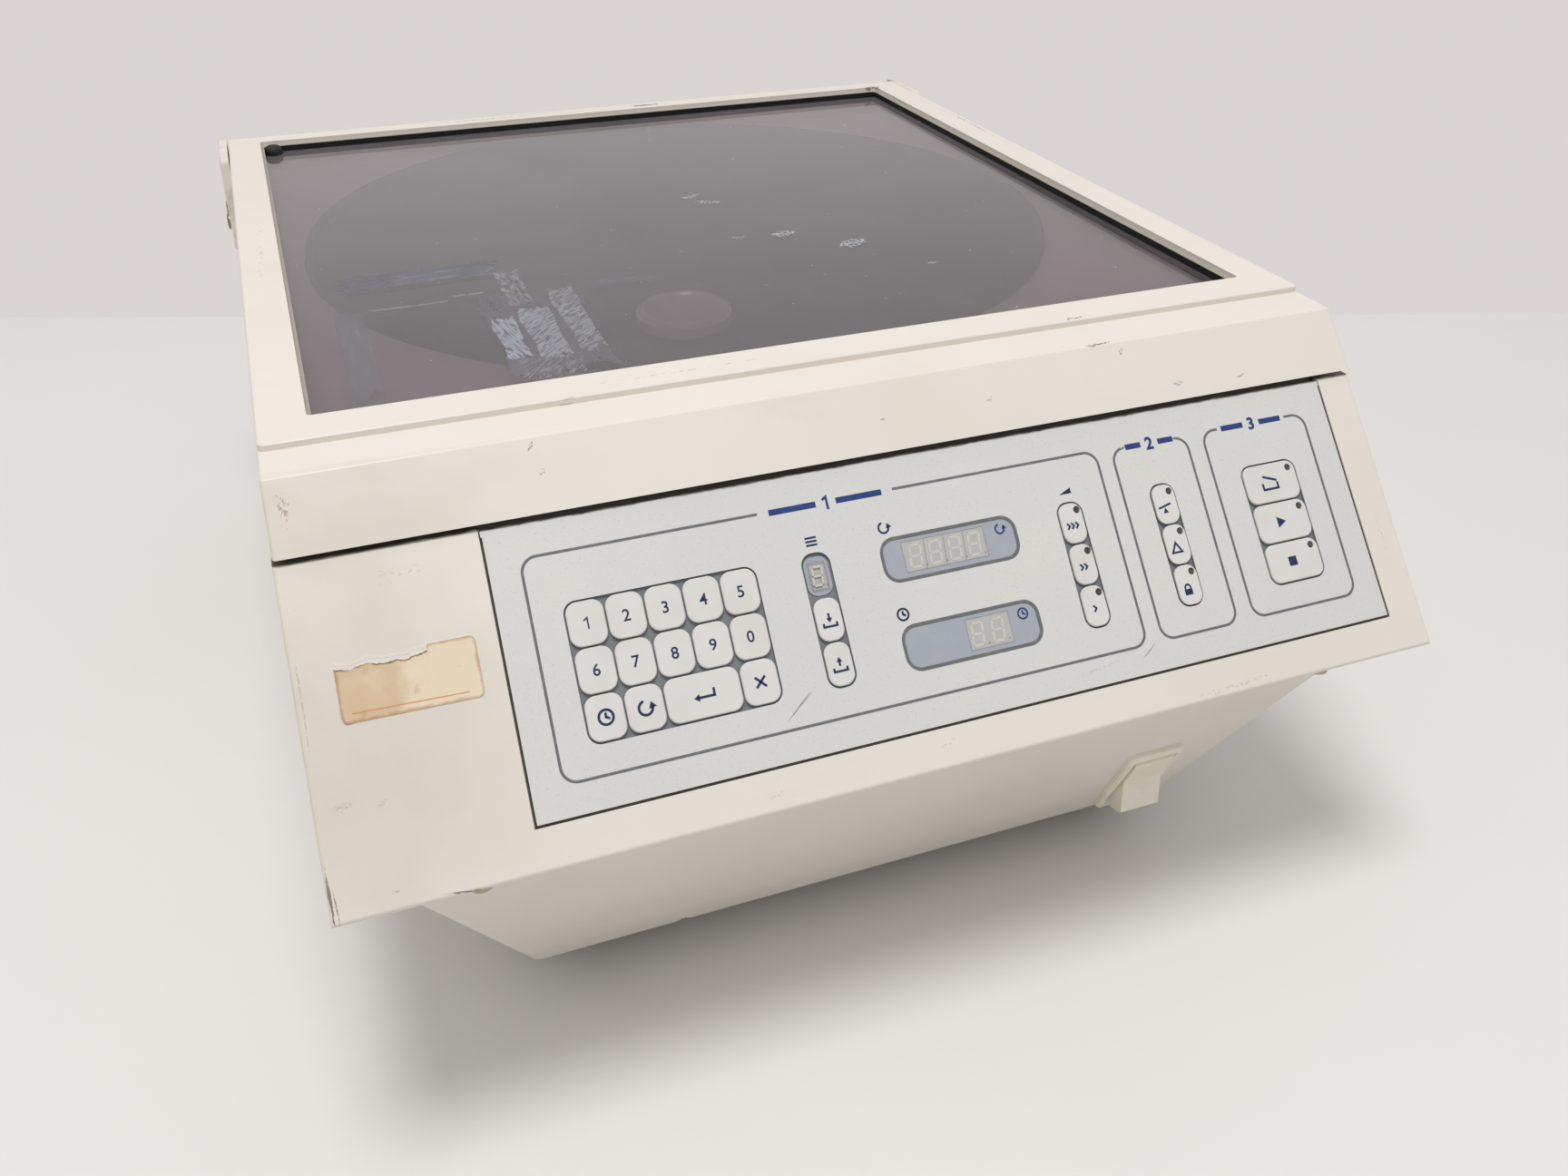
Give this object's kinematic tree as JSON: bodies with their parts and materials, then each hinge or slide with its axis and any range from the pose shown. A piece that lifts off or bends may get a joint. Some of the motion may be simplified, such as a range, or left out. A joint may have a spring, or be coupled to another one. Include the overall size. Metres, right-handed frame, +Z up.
{
  "type": "cytocentrifuge",
  "caption": "Bench cytocentrifuge with a tapered base, sloping keypad console, smoked window lid on side hinges, spin chamber with drive hub and power rocker.",
  "frame": {"origin": "on the bench, under the middle of the case", "axes": "+Z up, +Y to the back (the hinge side), +X to the operator's right"},
  "size_m": [0.4022, 0.5, 0.22],
  "materials": {
    "case_paint": "satin",
    "lid_paint": "satin",
    "panel_film": "fine-grained",
    "key_film": "fine-grained",
    "display_window": "translucent grey-blue film",
    "display_body": "smooth",
    "led_lens": "smooth",
    "circuit_board": "smooth",
    "black_rubber": "matt",
    "smoked_acrylic": "smoked, worn",
    "steel": "satin",
    "hub_metal": "turned",
    "bowl_plastic": "satin",
    "zinc_screw": "dull zinc",
    "switch_plastic": "aged",
    "black_plastic": "matt",
    "motor_paint": "satin",
    "winding": "varnished"
  },
  "bodies": {
    "base": {"base_tub": "case_paint", "bowl_gasket": "black_rubber", "chassis_plate": "steel", "cheek_screws": "zinc_screw", "control_board": "circuit_board", "display_modules": "display_body", "display_windows": "display_window", "drive_board": "circuit_board", "fuse_holders": "black_plastic", "hinge_cheek_left": "case_paint", "hinge_cheek_right": "case_paint", "hinge_pins": "steel", "housing_screws": "zinc_screw", "indicator_leds": "led_lens", "latch_bracket": "steel", "latch_solenoid": "motor_paint", "mains_inlet": "black_plastic", "motor": "motor_paint", "motor_bracket": "steel", "motor_mounts": "black_rubber", "panel_backplate": "steel", "panel_overlay": "panel_film", "rocker_bezel": "switch_plastic", "rubber_feet": "black_rubber", "spin_bowl": "bowl_plastic", "transformer": "winding", "upper_housing": "case_paint"},
    "lid": {"lid_shell": "lid_paint", "lid_top_frame": "lid_paint", "window_gasket": "black_rubber", "lid_window": "smoked_acrylic", "window_corner_buffer": "black_rubber", "lid_striker": "steel"},
    "rotor": {"drive_hub": "hub_metal", "motor_shaft": "steel"},
    "rocker": {"power_rocker": "switch_plastic"},
    "latch": {"latch_hook": "steel"},
    "plunger": {"latch_plunger": "steel"},
    "key_0": {"key_0": "key_film"},
    "key_1": {"key_1": "key_film"},
    "key_2": {"key_2": "key_film"},
    "key_3": {"key_3": "key_film"},
    "key_4": {"key_4": "key_film"},
    "key_5": {"key_5": "key_film"},
    "key_6": {"key_6": "key_film"},
    "key_7": {"key_7": "key_film"},
    "key_8": {"key_8": "key_film"},
    "key_9": {"key_9": "key_film"},
    "key_accel_high": {"key_accel_high": "key_film"},
    "key_accel_low": {"key_accel_low": "key_film"},
    "key_accel_medium": {"key_accel_medium": "key_film"},
    "key_cancel": {"key_cancel": "key_film"},
    "key_enter": {"key_enter": "key_film"},
    "key_load": {"key_load": "key_film"},
    "key_open_lid": {"key_open_lid": "key_film"},
    "key_save": {"key_save": "key_film"},
    "key_set_speed": {"key_set_speed": "key_film"},
    "key_set_time": {"key_set_time": "key_film"},
    "key_start": {"key_start": "key_film"},
    "key_stop": {"key_stop": "key_film"}
  },
  "joints": [
    {"name": "lid_hinge", "type": "hinge", "parent": "base", "child": "lid", "pos_m": [0, 0.22133, 0.208], "axis": [-1, 0, 0], "range_deg": [0, 75]},
    {"name": "hub_spin", "type": "hinge", "parent": "base", "child": "rotor", "pos_m": [0, 0.04473, 0.1644], "axis": [0, 0, 1], "continuous": true},
    {"name": "rocker_tilt", "type": "hinge", "parent": "base", "child": "rocker", "pos_m": [0.11149, -0.19522, 0.04171], "axis": [1, 0, 0], "range_deg": [0, 29.5]},
    {"name": "latch_turn", "type": "hinge", "parent": "base", "child": "latch", "pos_m": [0, -0.13937, 0.17203], "axis": [1, 0, 0], "range_deg": [0, 15.2]},
    {"name": "plunger_slide", "type": "slide", "parent": "base", "child": "plunger", "axis": [0, 1, 0], "range_m": [0, 0.00365], "stiffness_N_per_m": 20, "springref_m": -0.0042},
    {"name": "key_0_press", "type": "slide", "parent": "base", "child": "key_0", "axis": [0, 0.7738, -0.6334], "range_m": [0, 0.0004], "stiffness_N_per_m": 2000},
    {"name": "key_1_press", "type": "slide", "parent": "base", "child": "key_1", "axis": [0, 0.7738, -0.6334], "range_m": [0, 0.0004], "stiffness_N_per_m": 2000},
    {"name": "key_2_press", "type": "slide", "parent": "base", "child": "key_2", "axis": [0, 0.7738, -0.6334], "range_m": [0, 0.0004], "stiffness_N_per_m": 2000},
    {"name": "key_3_press", "type": "slide", "parent": "base", "child": "key_3", "axis": [0, 0.7738, -0.6334], "range_m": [0, 0.0004], "stiffness_N_per_m": 2000},
    {"name": "key_4_press", "type": "slide", "parent": "base", "child": "key_4", "axis": [0, 0.7738, -0.6334], "range_m": [0, 0.0004], "stiffness_N_per_m": 2000},
    {"name": "key_5_press", "type": "slide", "parent": "base", "child": "key_5", "axis": [0, 0.7738, -0.6334], "range_m": [0, 0.0004], "stiffness_N_per_m": 2000},
    {"name": "key_6_press", "type": "slide", "parent": "base", "child": "key_6", "axis": [0, 0.7738, -0.6334], "range_m": [0, 0.0004], "stiffness_N_per_m": 2000},
    {"name": "key_7_press", "type": "slide", "parent": "base", "child": "key_7", "axis": [0, 0.7738, -0.6334], "range_m": [0, 0.0004], "stiffness_N_per_m": 2000},
    {"name": "key_8_press", "type": "slide", "parent": "base", "child": "key_8", "axis": [0, 0.7738, -0.6334], "range_m": [0, 0.0004], "stiffness_N_per_m": 2000},
    {"name": "key_9_press", "type": "slide", "parent": "base", "child": "key_9", "axis": [0, 0.7738, -0.6334], "range_m": [0, 0.0004], "stiffness_N_per_m": 2000},
    {"name": "key_accel_high_press", "type": "slide", "parent": "base", "child": "key_accel_high", "axis": [0, 0.7738, -0.6334], "range_m": [0, 0.0004], "stiffness_N_per_m": 2000},
    {"name": "key_accel_low_press", "type": "slide", "parent": "base", "child": "key_accel_low", "axis": [0, 0.7738, -0.6334], "range_m": [0, 0.0004], "stiffness_N_per_m": 2000},
    {"name": "key_accel_medium_press", "type": "slide", "parent": "base", "child": "key_accel_medium", "axis": [0, 0.7738, -0.6334], "range_m": [0, 0.0004], "stiffness_N_per_m": 2000},
    {"name": "key_cancel_press", "type": "slide", "parent": "base", "child": "key_cancel", "axis": [0, 0.7738, -0.6334], "range_m": [0, 0.0004], "stiffness_N_per_m": 2000},
    {"name": "key_enter_press", "type": "slide", "parent": "base", "child": "key_enter", "axis": [0, 0.7738, -0.6334], "range_m": [0, 0.0004], "stiffness_N_per_m": 2000},
    {"name": "key_load_press", "type": "slide", "parent": "base", "child": "key_load", "axis": [0, 0.7738, -0.6334], "range_m": [0, 0.0004], "stiffness_N_per_m": 2000},
    {"name": "key_open_lid_press", "type": "slide", "parent": "base", "child": "key_open_lid", "axis": [0, 0.7738, -0.6334], "range_m": [0, 0.0004], "stiffness_N_per_m": 2000},
    {"name": "key_save_press", "type": "slide", "parent": "base", "child": "key_save", "axis": [0, 0.7738, -0.6334], "range_m": [0, 0.0004], "stiffness_N_per_m": 2000},
    {"name": "key_set_speed_press", "type": "slide", "parent": "base", "child": "key_set_speed", "axis": [0, 0.7738, -0.6334], "range_m": [0, 0.0004], "stiffness_N_per_m": 2000},
    {"name": "key_set_time_press", "type": "slide", "parent": "base", "child": "key_set_time", "axis": [0, 0.7738, -0.6334], "range_m": [0, 0.0004], "stiffness_N_per_m": 2000},
    {"name": "key_start_press", "type": "slide", "parent": "base", "child": "key_start", "axis": [0, 0.7738, -0.6334], "range_m": [0, 0.0004], "stiffness_N_per_m": 2000},
    {"name": "key_stop_press", "type": "slide", "parent": "base", "child": "key_stop", "axis": [0, 0.7738, -0.6334], "range_m": [0, 0.0004], "stiffness_N_per_m": 2000}
  ],
  "couplings": [
    {"joint": "latch_turn", "follows": "plunger_slide", "rad_per_m": 71.633}
  ]
}
